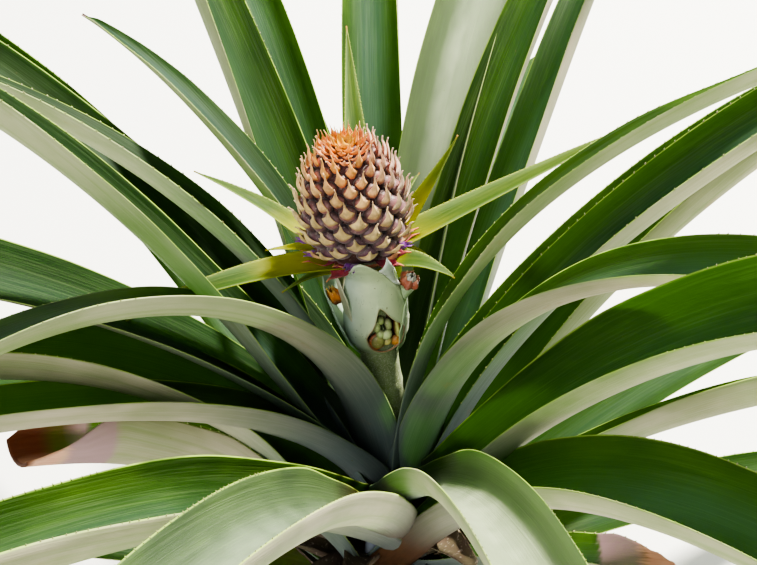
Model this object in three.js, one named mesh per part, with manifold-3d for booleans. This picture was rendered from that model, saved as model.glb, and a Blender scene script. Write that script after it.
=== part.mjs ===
// A fruiting pineapple plant: a short stem cut flat at ground level, a rosette of channelled
// leaves, and a leaning stalk that carries a young fruit with a collar of pointed bracts.
// Millimetres, +Z up. The origin is the middle of the stem's flat cut, and -Y is the side seen
// from the front. Azimuths run anticlockwise from +X, and all angles are in degrees.

import * as THREE from 'three';
import { mergeVertices } from 'three/addons/utils/BufferGeometryUtils.js';
import Module from 'manifold-3d';

const wasm = await Module();
wasm.setup();

// Stem: it flares out at the ground and narrows over a shoulder to a flat top.
const STEM_HEIGHT = 292;
const STEM_RADIUS = 27;
const STEM_FOOT_RADIUS = 39;
const STEM_FLARE_RADIUS = 32;
const STEM_FLARE_HEIGHT = 18;
const STEM_STRAIGHT_FROM = 45;
const STEM_STRAIGHT_TO = 232;
const STEM_SHOULDER_RADIUS = 22.8;
const STEM_SHOULDER_HEIGHT = 268;
const STEM_TOP_RADIUS = 15;
const STEM_SIDES = 16;

// Fruit stalk: it leans, and widens into a neck under the fruit.
const STALK_LEAN = 6;
const STALK_LEAN_AZIMUTH = 180;
const STALK_RADIUS = 12.5;
const STALK_NECK_RADIUS = 15;
const STALK_WIDENS_FROM = 98;
const STALK_WIDENS_TO = 160;
const STALK_SIDES = 12;

// Fruit: FRUIT_BASE is how far up the stalk it starts, and FRUIT_SHIFT how far it sits to the
// side of the stalk's axis. The lower FRUIT_WAIST is, the lower its widest part lies, and the
// lower FRUIT_BLUNTNESS is, the blunter its ends are.
const FRUIT_BASE = 178;
const FRUIT_HEIGHT = 94;
const FRUIT_RADIUS = 39;
const FRUIT_SHIFT = -2;
const FRUIT_TOP_RADIUS = 5;
const FRUIT_WAIST = 0.8;
const FRUIT_BLUNTNESS = 0.4;
const FRUIT_SIDES = 18;
const FRUIT_RINGS = 9;

// Leaves
const GAP = 0.35;
const MERGE_DISTANCE = 1e-4;
const LEAF_THICKNESS = 2.6;
const BASE_THICKNESS = 4.2;
const BASE_THICK_TO = 0.25;
const TIP_WIDTH = 2.5;
const FEWEST_STATIONS = 5;
const STEPS_PER_STATION = 8;
const TURN_PER_STATION = 26;
const ARC_POINTS = 3;
const SPLIT_SHARE = 0.5;

// Shares of a leaf's width, and the shares of its length where they hold.
const BASE_WIDTH = 1.12;
const NECK_WIDTH = 0.9;
const NECK_AT = 0.1;
const NECK_CURVE = 0.8;
const FULL_WIDTH_AT = 0.35;
const TAPER_CURVE = 2;

// A torn leaf narrows to TORN_WIDTH over the last part of what is left of it.
const TORN_WIDTH = 0.4;
const TORN_NARROWS_FROM = 0.8;

// A bract keeps its width to BRACT_TAPERS_FROM and is set into the stalk by BRACT_INSET.
const BRACT_TAPERS_FROM = 0.15;
const BRACT_TAPER_CURVE = 1.3;
const BRACT_INSET = 2;

// Each leaf starts on the stem at an azimuth and a height, at a radius from the stem's axis.
// Its slope goes from rise to droop along the blade, by the power bend, while its heading turns
// by sweep and its channel rolls from roll[0] to roll[1]. fold is the angle of the channel's arc.
// A leaf that arches right over is made in two lengths, parted at the bend. A torn leaf ends at
// the share of its length given by reach.
const leaves = {
  right_arch: { azimuth: -36, height: 225, radius: 23, rise: 85, droop: -72, bend: 1.3, sweep: -11,
    roll: [-18, 17], length: 900, width: 60, fold: 134, split: true },
  left_arch: { azimuth: 212, height: 260, radius: 17, rise: 85, droop: -88, bend: 1.2, sweep: 7,
    roll: [16, 45], length: 725, width: 66, fold: 100, split: true },
  left_level: { azimuth: 217, height: 245, radius: 24, rise: 70, droop: -31, bend: 0.8, sweep: -12,
    roll: [9, 32], length: 825, width: 63, fold: 162 },
  left_front: { azimuth: 254, height: 204, radius: 26, rise: 54, droop: -40, bend: 2.3, sweep: -34,
    roll: [-52, 68], length: 1000, width: 77, fold: 175 },
  left_under: { azimuth: 203, height: 174, radius: 24, rise: 69, droop: -49, bend: 1.5, sweep: 19,
    roll: [-60, 86], length: 792, width: 80, fold: 176 },
  left_torn: { azimuth: 206, height: 145, radius: 25, rise: 73, droop: -7, bend: 0.95, sweep: 8,
    roll: [-45, 92], length: 593, width: 80, fold: 172, reach: 0.61 },
  left_dark: { azimuth: 200, height: 263, radius: 23, rise: 60, droop: -25, bend: 1.25, sweep: -9,
    roll: [14, -32], length: 835, width: 60, fold: 104 },
  back_left_far: { azimuth: 150, height: 218, radius: 24, rise: 63, droop: -8, bend: 0.9, sweep: 2,
    roll: [0, 0], length: 840, width: 58, fold: 130 },
  back_left_top: { azimuth: 155, height: 282, radius: 20, rise: 74, droop: -23, bend: 0.81, sweep: 19,
    roll: [32, 40], length: 718, width: 57, fold: 121 },
  back_left_mid: { azimuth: 157, height: 250, radius: 26, rise: 69, droop: -25, bend: 0.83, sweep: -11,
    roll: [15, 7], length: 900, width: 58, fold: 148 },
  back_left_low: { azimuth: 193, height: 260, radius: 26, rise: 64, droop: -20, bend: 3.0, sweep: 27,
    roll: [-18, 32], length: 800, width: 61, fold: 134 },
  back_left_short: { azimuth: 145, height: 278, radius: 16, rise: 86, droop: 0, bend: 0.98, sweep: -9,
    roll: [49, 21], length: 414, width: 46, fold: 126 },
  back_broad: { azimuth: 129, height: 217, radius: 24, rise: 70, droop: 14, bend: 1.2, sweep: -11,
    roll: [-7, 72], length: 730, width: 70, fold: 153 },
  back_behind: { azimuth: 109, height: 200, radius: 24, rise: 58, droop: -3, bend: 1.05, sweep: 8,
    roll: [2, 0], length: 810, width: 58, fold: 129 },
  back_middle_far: { azimuth: 95, height: 198, radius: 24, rise: 56, droop: 0, bend: 1.15, sweep: -8,
    roll: [-4, 0], length: 795, width: 58, fold: 129 },
  back_middle: { azimuth: 91, height: 215, radius: 24, rise: 60, droop: -3, bend: 0.45, sweep: -3,
    roll: [-15, -35], length: 728, width: 53, fold: 160 },
  back_white: { azimuth: 79, height: 210, radius: 24, rise: 69, droop: -16, bend: 1.1, sweep: -20,
    roll: [-40, 55], length: 900, width: 73, fold: 150 },
  back_right_tall: { azimuth: 65, height: 235, radius: 23, rise: 68, droop: -7, bend: 1.15, sweep: -14,
    roll: [-13, -46], length: 829, width: 56, fold: 136 },
  back_right_far: { azimuth: 61, height: 161, radius: 25, rise: 51, droop: 4, bend: 1.4, sweep: 6,
    roll: [-23, -60], length: 878, width: 57, fold: 160 },
  right_thin: { azimuth: -27, height: 280, radius: 14, rise: 89, droop: 0, bend: 1.0, sweep: 20,
    roll: [21, -54], length: 720, width: 47, fold: 92 },
  right_steep_far: { azimuth: 28, height: 255, radius: 23, rise: 67, droop: -13, bend: 0.7, sweep: -15,
    roll: [1, -1], length: 817, width: 59, fold: 129 },
  right_steep: { azimuth: -3, height: 224, radius: 30, rise: 83, droop: -38, bend: 0.95, sweep: 36,
    roll: [16, -45], length: 1025, width: 62, fold: 189 },
  right_steep_low: { azimuth: 9, height: 156, radius: 28, rise: 70, droop: -16, bend: 1.55, sweep: 0,
    roll: [3, -75], length: 856, width: 60, fold: 153 },
  right_broad: { azimuth: -53, height: 203, radius: 26, rise: 63, droop: -40, bend: 2.45, sweep: 4,
    roll: [40, 11], length: 1005, width: 81, fold: 176 },
  right_level: { azimuth: -18, height: 169, radius: 25, rise: 54, droop: -17, bend: 1.7, sweep: -15,
    roll: [-12, -70], length: 829, width: 60, fold: 141 },
  right_front: { azimuth: -67, height: 160, radius: 26, rise: 62, droop: -40, bend: 2.05, sweep: 10,
    roll: [26, -1], length: 940, width: 79, fold: 188 },
  right_torn: { azimuth: -32, height: 142, radius: 23, rise: 43, droop: 0, bend: 1.3, sweep: -3,
    roll: [-29, 4], length: 515, width: 57, fold: 115, reach: 0.5 },
  front_right: { azimuth: -81, height: 234, radius: 24, rise: 55, droop: -40, bend: 2.0, sweep: -3,
    roll: [15, -12], length: 1010, width: 63, fold: 190 },
  front_left: { azimuth: 266, height: 192, radius: 22, rise: 55, droop: -30, bend: 2.9, sweep: -22,
    roll: [-24, 29], length: 985, width: 72, fold: 176 },
  low_back_left: { azimuth: 130, height: 130, radius: 26, rise: 44, droop: -30, bend: 1.1, sweep: 0,
    roll: [0, 0], length: 700, width: 58, fold: 120 },
  low_back: { azimuth: 100, height: 110, radius: 27, rise: 40, droop: -35, bend: 1.1, sweep: 0,
    roll: [0, 0], length: 680, width: 58, fold: 120 },
  low_back_right: { azimuth: 74, height: 125, radius: 27, rise: 42, droop: -32, bend: 1.1, sweep: 0,
    roll: [0, 0], length: 700, width: 58, fold: 120 },
  low_right_back: { azimuth: 30, height: 105, radius: 27, rise: 36, droop: -34, bend: 1.1, sweep: 0,
    roll: [0, 0], length: 640, width: 56, fold: 120 },
  low_right: { azimuth: 14, height: 90, radius: 28, rise: 24, droop: -30, bend: 1.1, sweep: 0,
    roll: [0, 0], length: 560, width: 55, fold: 115 },
  low_right_front: { azimuth: -48, height: 95, radius: 28, rise: 32, droop: -32, bend: 1.1, sweep: 0,
    roll: [0, 0], length: 560, width: 55, fold: 115 },
  low_front: { azimuth: -92, height: 110, radius: 27, rise: 36, droop: -38, bend: 1.0, sweep: 0,
    roll: [0, 0], length: 600, width: 56, fold: 120 },
  low_front_left: { azimuth: 236, height: 100, radius: 28, rise: 34, droop: -34, bend: 1.1, sweep: 0,
    roll: [0, 0], length: 580, width: 56, fold: 115 },
  low_left: { azimuth: 181, height: 92, radius: 28, rise: 30, droop: -32, bend: 1.1, sweep: 0,
    roll: [0, 0], length: 580, width: 55, fold: 115 },
  low_left_back: { azimuth: 163, height: 115, radius: 27, rise: 38, droop: -34, bend: 1.1, sweep: 0,
    roll: [0, 0], length: 640, width: 56, fold: 120 },
};

// Bracts on the fruit stalk: station is how far up the stalk each one starts.
const bracts = {
  bract_sheath: { azimuth: -70, station: 104, rise: 87, droop: 72, bend: 3.0, sweep: 0, roll: [0, 0],
    length: 84, width: 62, fold: 180 },
  bract_left_long: { azimuth: 206, station: 171, rise: 22, droop: -32, bend: 0.9, sweep: -18,
    roll: [0, 0], length: 186, width: 25, fold: 100 },
  bract_left_upper: { azimuth: 157, station: 162, rise: 30, droop: 4, bend: 1.2, sweep: -6,
    roll: [0, 0], length: 126, width: 21, fold: 90 },
  bract_right_low: { azimuth: -21, station: 168, rise: 42, droop: -22, bend: 1.0, sweep: -6,
    roll: [0, 0], length: 56, width: 24, fold: 90 },
  bract_right_upper: { azimuth: 37, station: 167, rise: 32, droop: 62, bend: 0.6, sweep: -7,
    roll: [0, 0], length: 98, width: 20, fold: 90 },
  bract_right_long: { azimuth: 24, station: 174, rise: 15, droop: 18, bend: 1.0, sweep: -5,
    roll: [0, 0], length: 196, width: 23, fold: 95 },
  bract_back_thin: { azimuth: 95, station: 169, rise: 33, droop: 26, bend: 0.6, sweep: 0,
    roll: [0, 0], length: 170, width: 24, fold: 95 },
  bract_back_left: { azimuth: 130, station: 160, rise: 20, droop: 0, bend: 0.9, sweep: 0,
    roll: [0, 0], length: 62, width: 20, fold: 95 },
  bract_low_back: { azimuth: 60, station: 95, rise: 80, droop: 60, bend: 1.2, sweep: 0,
    roll: [0, 0], length: 80, width: 34, fold: 130 },
};

const radians = THREE.MathUtils.degToRad;
const between = THREE.MathUtils.lerp;
const share = (value, low, high) => THREE.MathUtils.clamp((value - low) / (high - low), 0, 1);

function heading(azimuth, slope) {
  const flat = Math.cos(radians(slope));
  return new THREE.Vector3(
    flat * Math.cos(radians(azimuth)), flat * Math.sin(radians(azimuth)), Math.sin(radians(slope)));
}

const stalkDirection = heading(STALK_LEAN_AZIMUTH, 90 - STALK_LEAN);
const stalkFoot = new THREE.Vector3(0, 0, STEM_HEIGHT);
const stalkPoint = (along) => stalkFoot.clone().addScaledVector(stalkDirection, along);

// The share of its full width that a leaf has at a share t of its length: clasping base, neck,
// parallel blade, then a long taper.
function leafWidthShare(t) {
  const base = t < NECK_AT
    ? between(BASE_WIDTH, NECK_WIDTH, Math.pow(t / NECK_AT, NECK_CURVE))
    : between(NECK_WIDTH, 1, share(t, NECK_AT, FULL_WIDTH_AT));
  return base * (1 - Math.pow(share(t, FULL_WIDTH_AT, 1), TAPER_CURVE));
}

function tornWidthShare(t) {
  return between(1, TORN_WIDTH, share(t, TORN_NARROWS_FROM, 1));
}

// A bract is broad at its foot and tapers evenly to a point.
function bractWidthShare(t) {
  return 1 - Math.pow(share(t, BRACT_TAPERS_FROM, 1), BRACT_TAPER_CURVE);
}

function bladeStart(blade) {
  if (blade.station !== undefined) {
    return stalkPoint(blade.station).addScaledVector(heading(blade.azimuth, 0), STALK_RADIUS - BRACT_INSET);
  }
  const start = heading(blade.azimuth, 0).multiplyScalar(blade.radius);
  start.z = blade.height;
  return start;
}

// Walks a blade's centre line in small steps and returns evenly spaced frames along it, more of
// them where the blade bends further.
function bladeFrames(blade) {
  const count = FEWEST_STATIONS + Math.floor(Math.abs(blade.rise - blade.droop) / TURN_PER_STATION);
  const steps = (count - 1) * STEPS_PER_STATION;
  const reach = blade.reach ?? 1;
  const point = bladeStart(blade);
  const frames = [];
  for (let i = 0; i <= steps; i += 1) {
    const t = reach * i / steps;
    const azimuth = blade.azimuth + blade.sweep * t;
    const slope = between(blade.rise, blade.droop, Math.pow(t, blade.bend));
    const along = heading(azimuth, slope);
    if (i > 0) {
      point.addScaledVector(along, blade.length * reach / steps);
    }
    if (i % STEPS_PER_STATION === 0) {
      const side = heading(azimuth + 90, 0);
      const inner = new THREE.Vector3().crossVectors(along, side);
      const roll = radians(between(blade.roll[0], blade.roll[1], t));
      side.applyAxisAngle(along, roll);
      inner.applyAxisAngle(along, roll);
      frames.push({ t, point: point.clone(), along, side, inner });
    }
  }
  return frames;
}

// One ring round the channel: along its outer skin from one margin to the other, then back
// along its inner skin.
function bladeRing(blade, frame, grow) {
  const widthShare = blade.station === undefined ? leafWidthShare : bractWidthShare;
  const torn = blade.reach === undefined ? 1 : tornWidthShare(frame.t / blade.reach);
  const width = Math.max(blade.width * widthShare(frame.t) * torn, TIP_WIDTH) + 2 * grow;
  const fold = radians(blade.fold);
  const radius = width / fold;
  const thickness = between(BASE_THICKNESS, LEAF_THICKNESS, share(frame.t, 0, BASE_THICK_TO));
  const thin = Math.min(thickness, width / 2) + 2 * grow;
  const ring = [];
  for (const skin of [0.5, -0.5]) {
    for (let i = 0; i < ARC_POINTS; i += 1) {
      const place = skin > 0 ? i : ARC_POINTS - 1 - i;
      const angle = fold * (place / (ARC_POINTS - 1) - 0.5);
      const reach = radius + skin * thin;
      ring.push(frame.point.clone()
        .addScaledVector(frame.side, reach * Math.sin(angle))
        .addScaledVector(frame.inner, radius - reach * Math.cos(angle)));
    }
  }
  return ring;
}

// Joins rings of equal length into one closed body, with a flat cap on each end. Both skins are
// parted along the same diagonals, so that a thin blade keeps its thickness where it twists.
function loft(rings) {
  const size = rings[0].length;
  const positions = rings.flat().flatMap((p) => [p.x, p.y, p.z]);
  const index = [];
  for (let r = 0; r < rings.length - 1; r += 1) {
    for (let i = 0; i < size; i += 1) {
      const a = r * size + i;
      const b = r * size + ((i + 1) % size);
      if (i < size / 2) {
        index.push(a, b, b + size, a, b + size, a + size);
      } else {
        index.push(a, b, a + size, b, b + size, a + size);
      }
    }
  }
  const last = (rings.length - 1) * size;
  for (let i = 0; i < size / 2 - 1; i += 1) {
    const far = size - 1 - i;
    index.push(i, far, far - 1, i, far - 1, i + 1);
    index.push(last + i, last + far - 1, last + far, last + i, last + i + 1, last + far - 1);
  }
  const geometry = new THREE.BufferGeometry();
  geometry.setAttribute('position', new THREE.Float32BufferAttribute(positions, 3));
  geometry.setIndex(index);
  return geometry;
}

function toSolid(geometry) {
  geometry.deleteAttribute('normal');
  geometry.deleteAttribute('uv');
  const merged = mergeVertices(geometry, MERGE_DISTANCE);
  const vertProperties = new Float32Array(merged.attributes.position.array);
  const triVerts = new Uint32Array(merged.index.array);
  const solid = new wasm.Manifold(new wasm.Mesh({ numProp: 3, vertProperties, triVerts }));
  if (solid.volume() > 0) {
    return solid;
  }
  return new wasm.Manifold(new wasm.Mesh({ numProp: 3, vertProperties, triVerts: triVerts.reverse() }));
}

function toGeometry(solid) {
  const mesh = solid.getMesh();
  const geometry = new THREE.BufferGeometry();
  geometry.setAttribute('position', new THREE.BufferAttribute(new Float32Array(mesh.vertProperties), 3));
  geometry.setIndex(new THREE.BufferAttribute(new Uint32Array(mesh.triVerts), 1));
  geometry.computeVertexNormals();
  return geometry;
}

function largestBody(solid) {
  return solid.decompose().reduce((best, piece) => (piece.volume() > best.volume() ? piece : best));
}

// A turned body on the Z axis, from [radius, height] pairs that start and end on the axis.
function turned(profile, sides) {
  const points = profile.map(([radius, height]) => new THREE.Vector2(radius, height));
  return new THREE.LatheGeometry(points, sides).rotateX(Math.PI / 2);
}

function stemGeometry(grow) {
  return turned([
    [0, 0 - grow],
    [STEM_FOOT_RADIUS + grow, 0 - grow],
    [STEM_FLARE_RADIUS + grow, STEM_FLARE_HEIGHT],
    [STEM_RADIUS + grow, STEM_STRAIGHT_FROM],
    [STEM_RADIUS + grow, STEM_STRAIGHT_TO],
    [STEM_SHOULDER_RADIUS + grow, STEM_SHOULDER_HEIGHT],
    [STEM_TOP_RADIUS + grow, STEM_HEIGHT + grow],
    [0, STEM_HEIGHT + grow],
  ], STEM_SIDES);
}

const alongStalk = new THREE.Matrix4()
  .makeRotationAxis(heading(STALK_LEAN_AZIMUTH + 90, 0), radians(STALK_LEAN))
  .setPosition(stalkFoot);

// The stalk's foot is set back by the lean, so that it clears the flat top of the stem.
function stalkGeometry(grow) {
  const foot = STALK_RADIUS * Math.sin(radians(STALK_LEAN)) + GAP;
  return turned([
    [0, foot - grow],
    [STALK_RADIUS + grow, foot - grow],
    [STALK_RADIUS + grow, STALK_WIDENS_FROM],
    [STALK_NECK_RADIUS + grow, STALK_WIDENS_TO],
    [STALK_NECK_RADIUS + grow, FRUIT_BASE - GAP + grow],
    [0, FRUIT_BASE - GAP + grow],
  ], STALK_SIDES).applyMatrix4(alongStalk);
}

// The fruit is an egg with its broad end down, on a flat foot that sits on the stalk.
function fruitGeometry(grow) {
  const profile = [[0, FRUIT_BASE - grow], [STALK_NECK_RADIUS + grow, FRUIT_BASE - grow]];
  for (let i = 1; i < FRUIT_RINGS; i += 1) {
    const t = i / FRUIT_RINGS;
    const bulge = Math.sin(Math.PI * Math.pow(t, FRUIT_WAIST));
    const radius = Math.max(FRUIT_RADIUS * Math.pow(bulge, FRUIT_BLUNTNESS), FRUIT_TOP_RADIUS);
    profile.push([radius + grow, FRUIT_BASE + FRUIT_HEIGHT * t]);
  }
  profile.push([0, FRUIT_BASE + FRUIT_HEIGHT + grow]);
  return turned(profile, FRUIT_SIDES).translate(FRUIT_SHIFT, 0, 0).applyMatrix4(alongStalk);
}

function bladeGeometry(blade, frames, grow) {
  return loft(frames.map((frame) => bladeRing(blade, frame, grow)));
}

const plant = new THREE.Group();
plant.name = 'pineapple_plant';
const cutters = [];

function addMesh(name, geometry, material) {
  const mesh = new THREE.Mesh(geometry, material);
  mesh.name = name;
  plant.add(mesh);
}

function addCore(name, makeGeometry, material) {
  addMesh(name, toGeometry(toSolid(makeGeometry(0))), material);
  cutters.push(toSolid(makeGeometry(GAP)));
}

// Trims a blade so that it clears all that lies nearer the stem's axis, and keeps its main piece.
function addBlade(name, blade, frames, material) {
  let solid = toSolid(bladeGeometry(blade, frames, 0));
  for (const cutter of cutters) {
    solid = solid.subtract(cutter);
  }
  addMesh(name, toGeometry(largestBody(solid)), material);
}

function finish(color, roughness) {
  return new THREE.MeshStandardMaterial({ color, roughness, metalness: 0 });
}

const stemFinish = finish(0x8f8a5c, 0.9);
const stalkFinish = finish(0xa9b58c, 0.7);
const fruitFinish = finish(0x9a6f55, 0.75);
const bractFinish = finish(0xc9cf7a, 0.6);
const leafFinish = finish(0x5d7a45, 0.5);

addCore('stem', stemGeometry, stemFinish);
addCore('fruit_stalk', stalkGeometry, stalkFinish);
addCore('fruit', fruitGeometry, fruitFinish);

for (const [name, bract] of Object.entries(bracts)) {
  const frames = bladeFrames(bract);
  addBlade(name, bract, frames, bractFinish);
  cutters.push(toSolid(bladeGeometry(bract, frames, GAP)));
}

const fromTheTopDown = Object.entries(leaves).sort(([, a], [, b]) => b.height - a.height);
for (const [name, leaf] of fromTheTopDown) {
  const frames = bladeFrames(leaf);
  if (leaf.split) {
    const bend = Math.round((frames.length - 1) * SPLIT_SHARE);
    const outer = frames.slice(bend);
    outer[0] = { ...outer[0], point: outer[0].point.clone().addScaledVector(outer[0].along, GAP) };
    addBlade(`leaf_${name}_rising`, leaf, frames.slice(0, bend + 1), leafFinish);
    addBlade(`leaf_${name}_falling`, leaf, outer, leafFinish);
  } else {
    addBlade(`leaf_${name}`, leaf, frames, leafFinish);
  }
  cutters.push(toSolid(bladeGeometry(leaf, frames, GAP)));
}

export default plant;
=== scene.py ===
"""A fruiting pineapple plant: a rosette of channelled leaves round a stem cut flat at the ground,
and a leaning stalk with a young fruit and its bracts.

Metres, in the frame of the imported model: +Z up, the front towards -Y, azimuths anticlockwise
from +X. Below, lengths are in millimetres, angles in the tables are in degrees, and colours are
red, green and blue from 0 to 255.
"""
import math

import bpy
import numpy as np
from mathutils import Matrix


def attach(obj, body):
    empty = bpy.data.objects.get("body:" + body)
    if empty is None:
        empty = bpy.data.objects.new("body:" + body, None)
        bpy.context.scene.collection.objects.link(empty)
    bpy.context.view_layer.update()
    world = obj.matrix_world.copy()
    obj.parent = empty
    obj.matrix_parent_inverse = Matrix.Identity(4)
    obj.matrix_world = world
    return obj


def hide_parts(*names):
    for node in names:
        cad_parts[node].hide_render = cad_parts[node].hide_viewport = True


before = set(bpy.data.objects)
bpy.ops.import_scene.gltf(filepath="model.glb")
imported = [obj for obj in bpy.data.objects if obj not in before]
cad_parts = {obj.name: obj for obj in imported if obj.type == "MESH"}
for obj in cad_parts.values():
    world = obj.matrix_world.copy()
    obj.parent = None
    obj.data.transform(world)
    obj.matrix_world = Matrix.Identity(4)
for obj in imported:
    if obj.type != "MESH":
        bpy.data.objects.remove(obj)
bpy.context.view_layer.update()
random = np.random.default_rng(20)
MM = 0.001
BLANK = -10**9  # in place of the fourth corner of a face that has three

# Per leaf: azimuth, height, radius, rise, droop, bend, sweep, roll at the base, roll at the tip,
# length, width, fold, then the size of its marginal teeth, its waxy bloom, which also sets its painted
# glare, and its tone.
LEAVES = {
    "right_arch": (-36, 225, 23, 85, -72, 1.3, -11, -18, 17, 900, 60, 134, 0.6, 0.5, 0.5),
    "left_arch": (212, 260, 17, 85, -88, 1.2, 7, 16, 45, 725, 66, 100, 0.5, 0.7, 0.6),
    "left_level": (217, 245, 24, 70, -31, 0.8, -12, 9, 32, 825, 63, 162, 0.6, 0.3, 1.0),
    "left_front": (254, 204, 26, 54, -40, 2.3, -34, -52, 68, 1000, 77, 175, 0.4, 0.25, 0.5),
    "left_under": (203, 174, 24, 69, -49, 1.5, 19, -60, 86, 792, 80, 176, 0.6, 0.1, 0.2),
    "left_torn": (206, 145, 25, 73, -7, 0.95, 8, -45, 92, 593, 80, 172, 0.9, 0.2, 0.5),
    "left_dark": (200, 263, 23, 60, -25, 1.25, -9, 14, -32, 835, 60, 104, 0.7, 0.0, 0.0),
    "back_left_far": (150, 218, 24, 63, -8, 0.9, 2, 0, 0, 840, 58, 130, 0.7, 0.2, 0.1),
    "back_left_top": (155, 282, 20, 74, -23, 0.81, 19, 32, 40, 718, 57, 121, 1.4, 0.05, 0.0),
    "back_left_mid": (157, 250, 26, 69, -25, 0.83, -11, 15, 7, 900, 58, 148, 0.7, 0.1, 0.1),
    "back_left_low": (193, 260, 26, 64, -20, 3.0, 27, -18, 32, 800, 61, 134, 0.6, 0.45, 0.0),
    "back_left_short": (145, 278, 16, 86, 0, 0.98, -9, 49, 21, 414, 46, 126, 0.8, 0.3, 0.0),
    "back_broad": (129, 217, 24, 70, 14, 1.2, -11, -7, 72, 730, 70, 153, 0.5, 0.2, 0.4),
    "back_behind": (109, 200, 24, 58, -3, 1.05, 8, 2, 0, 810, 58, 129, 0.5, 0.3, 0.4),
    "back_middle_far": (95, 198, 24, 56, 0, 1.15, -8, -4, 0, 795, 58, 129, 0.6, 0.3, 0.4),
    "back_middle": (91, 215, 24, 60, -3, 0.45, -3, -15, -35, 728, 53, 160, 1.2, 0.5, 0.2),
    "back_white": (79, 210, 24, 69, -16, 1.1, -20, -40, 55, 900, 73, 150, 0.4, 1.0, 0.7),
    "back_right_tall": (65, 235, 23, 68, -7, 1.15, -14, -13, -46, 829, 56, 136, 0.4, 0.0, 0.5),
    "back_right_far": (61, 161, 25, 51, 4, 1.4, 6, -23, -60, 878, 57, 160, 0.5, 0.6, 0.1),
    "right_thin": (-27, 280, 14, 89, 0, 1.0, 20, 21, -54, 720, 47, 92, 1.0, 0.4, 0.5),
    "right_steep_far": (28, 255, 23, 67, -13, 0.7, -15, 1, -1, 817, 59, 129, 0.8, 0.4, 0.5),
    "right_steep": (-3, 224, 30, 83, -38, 0.95, 36, 16, -45, 1025, 62, 189, 1.1, 0.3, 0.4),
    "right_steep_low": (9, 156, 28, 70, -16, 1.55, 0, 3, -75, 856, 60, 153, 0.8, 0.1, 0.3),
    "right_broad": (-53, 203, 26, 63, -40, 2.45, 4, 40, 11, 1005, 81, 176, 0.5, 0.2, 0.2),
    "right_level": (-18, 169, 25, 54, -17, 1.7, -15, -12, -70, 829, 60, 141, 0.6, 0.05, 0.3),
    "right_front": (-67, 160, 26, 62, -40, 2.05, 10, 26, -1, 940, 79, 188, 0.5, 0.5, 0.4),
    "right_torn": (-32, 142, 23, 43, 0, 1.3, -3, -29, 4, 515, 57, 115, 1.4, 0.2, 0.5),
    "front_right": (-81, 234, 24, 55, -40, 2.0, -3, 15, -12, 1010, 63, 190, 0.4, 0.95, 0.5),
    "front_left": (266, 192, 22, 55, -30, 2.9, -22, -24, 29, 985, 72, 176, 0.4, 0.84, 0.4),
    "low_back_left": (130, 130, 26, 44, -30, 1.1, 0, 0, 0, 700, 58, 120, 0.6, 0.3, 0.4),
    "low_back": (100, 110, 27, 40, -35, 1.1, 0, 0, 0, 680, 58, 120, 0.6, 0.4, 0.5),
    "low_back_right": (74, 125, 27, 42, -32, 1.1, 0, 0, 0, 700, 58, 120, 0.6, 0.3, 0.4),
    "low_right_back": (30, 105, 27, 36, -34, 1.1, 0, 0, 0, 640, 56, 120, 0.6, 0.0, 0.1),
    "low_right": (14, 90, 28, 24, -30, 1.1, 0, 0, 0, 560, 55, 115, 0.8, 0.1, 0.2),
    "low_right_front": (-48, 95, 28, 32, -32, 1.1, 0, 0, 0, 560, 55, 115, 0.6, 0.3, 0.5),
    "low_front": (-92, 110, 27, 36, -38, 1.0, 0, 0, 0, 600, 56, 120, 0.6, 0.3, 0.4),
    "low_front_left": (236, 100, 28, 34, -34, 1.1, 0, 0, 0, 580, 56, 115, 0.8, 0.3, 0.5),
    "low_left": (181, 92, 28, 30, -32, 1.1, 0, 0, 0, 580, 55, 115, 0.6, 0.1, 0.2),
    "low_left_back": (163, 115, 27, 38, -34, 1.1, 0, 0, 0, 640, 56, 120, 0.6, 0.3, 0.5),
}
SPLIT_LEAVES = ("right_arch", "left_arch")
# Where a torn leaf ends, as a share of its length; from what share of the rest its tissue is dead;
# how far that border slants across it; and how much further round its near half curls.
TORN_LEAVES = {"left_torn": (0.61, 0.85, -0.01, 0.4), "right_torn": (0.5, 0.74, 0.06, 0.0)}
# How much painted shade, in dark brown, lies over the foot of a leaf in the plant's shaded middle.
SHADED_FEET = {"right_front": 1.0, "front_left": 0.8, "low_front": 0.9, "low_front_left": 0.9,
             "low_right_front": 0.9, "left_front": 0.3, "low_left": 0.6, "low_right": 0.6}
# The places of a blade's columns of points, from one margin (-1) to the other (1).
LEAF_COLUMNS = (-1, -0.97, -0.9, -0.78, -0.62, -0.44, -0.22, 0, 0.22, 0.44, 0.62, 0.78, 0.9, 0.97, 1)
BRACT_COLUMNS = (-1, -0.92, -0.7, -0.4, 0, 0.4, 0.7, 0.92, 1)
# A leaf has 40 rows of points and one more for each of these lengths.
LEAF_ROW = 16
# Thickness at the foot, which halves further up, and of the margins.
LEAF_THICK = 4.0
BRACT_THICK = 2.0
MARGIN_THICK = 0.24
PATH_STEPS = 800
TOOTH_FACES = ((0, 1, 2, 3), (0, 4, 5, 1), (1, 5, 6, 2), (2, 6, 7, 3), (3, 7, 4, 0),
               (4, 8, 5, BLANK), (5, 8, 6, BLANK), (6, 8, 7, BLANK), (7, 8, 4, BLANK))

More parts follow.
